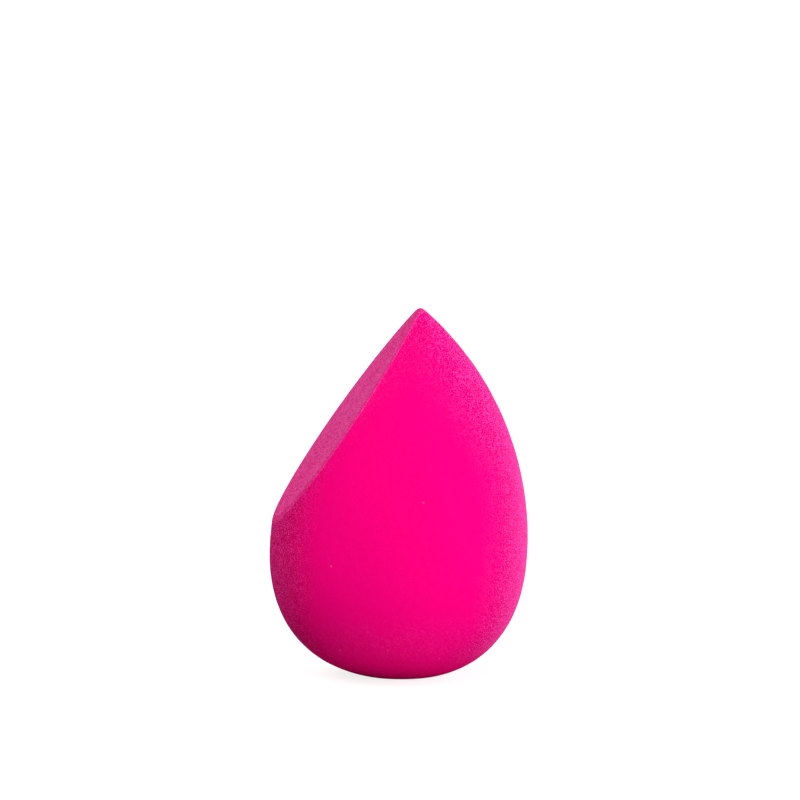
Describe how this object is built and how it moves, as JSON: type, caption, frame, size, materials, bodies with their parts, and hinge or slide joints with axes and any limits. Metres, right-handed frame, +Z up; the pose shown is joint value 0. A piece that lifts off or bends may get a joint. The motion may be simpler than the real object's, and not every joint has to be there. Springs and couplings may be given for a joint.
{
  "type": "makeup sponge",
  "caption": "Teardrop makeup sponge of soft foam with a slant flat cut through its nose, standing on its round end.",
  "frame": {"origin": "centre of the small flat that the sponge stands on", "axes": "+Z up, towards the point; -X is the side that the slant flat faces; +Y completes a right-handed frame"},
  "size_m": [0.042, 0.042, 0.0605],
  "materials": {
    "moulded_skin": "matte",
    "foam_core": "matte"
  },
  "bodies": {
    "root": {"moulded_skin": "moulded_skin", "foam_core": "foam_core"}
  },
  "joints": []
}
